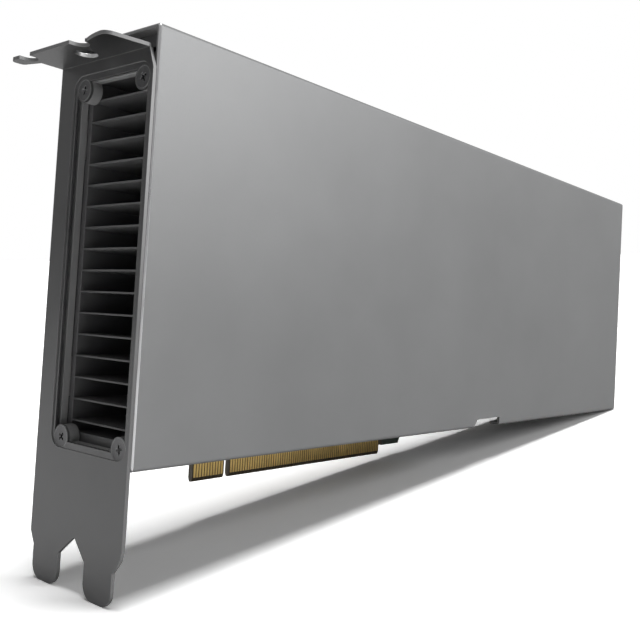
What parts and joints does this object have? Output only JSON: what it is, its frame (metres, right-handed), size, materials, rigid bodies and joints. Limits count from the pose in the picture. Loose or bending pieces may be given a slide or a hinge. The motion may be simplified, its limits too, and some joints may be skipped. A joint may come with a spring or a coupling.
{
  "type": "passive accelerator card",
  "caption": "Passive accelerator card: a board with a card edge, a ducted fin heatsink under a folded metal cover, and a wide bracket with an exhaust window.",
  "frame": {"origin": "centre of the key notch in the card edge, on the contact tips, at mid board thickness", "axes": "+X from the bracket to the far end, +Y from the cover to the bare side of the board, +Z from the card edge to the top edge"},
  "size_m": [0.2777, 0.0406, 0.1244],
  "materials": {
    "bracket_coat": "satin",
    "screw_steel": "satin",
    "frame_coat": "satin",
    "cover_aluminium": "bead blasted satin",
    "heatsink_aluminium": "satin",
    "fin_aluminium": "satin",
    "board_laminate": "satin",
    "contact_gold": "polished",
    "package_laminate": "satin",
    "stiffener_steel": "satin",
    "die_silicon": "polished",
    "chip_plastic": "matte",
    "thermal_pad": "matte",
    "retention_steel": "satin",
    "capacitor_ceramic": "matte",
    "inductor_core": "matte",
    "capacitor_can": "satin",
    "crystal_can": "satin",
    "inlet_plastic": "satin",
    "pin_brass": "satin",
    "post_aluminium": "satin"
  },
  "bodies": {
    "root": {"board_screws": "screw_steel", "bracket_screws": "screw_steel", "bulk_capacitors": "capacitor_can", "ceramic_capacitors": "capacitor_ceramic", "circuit_board": "board_laminate", "clock_crystal": "crystal_can", "cover_screws": "screw_steel", "decoupling_capacitors": "capacitor_ceramic", "edge_contacts_component_side": "contact_gold", "edge_contacts_solder_side": "contact_gold", "eight_pin_power_inlet": "inlet_plastic", "exhaust_frame": "frame_coat", "firmware_chip": "chip_plastic", "heatsink_body": "heatsink_aluminium", "heatsink_fins": "fin_aluminium", "io_bracket": "bracket_coat", "lower_rear_post": "post_aluminium", "memory_chips_component_side": "chip_plastic", "memory_chips_solder_side": "chip_plastic", "memory_thermal_pads": "thermal_pad", "power_controllers": "chip_plastic", "power_inductors": "inductor_core", "power_inlet_pins": "pin_brass", "power_stage_heatsink": "heatsink_aluminium", "power_stage_pad": "thermal_pad", "power_transistors": "chip_plastic", "processor_die": "die_silicon", "processor_stiffener": "stiffener_steel", "processor_substrate": "package_laminate", "retention_frame": "retention_steel", "retention_screws": "screw_steel", "shroud_cover": "cover_aluminium", "six_pin_power_inlet": "inlet_plastic", "upper_rear_post": "post_aluminium"}
  },
  "joints": []
}
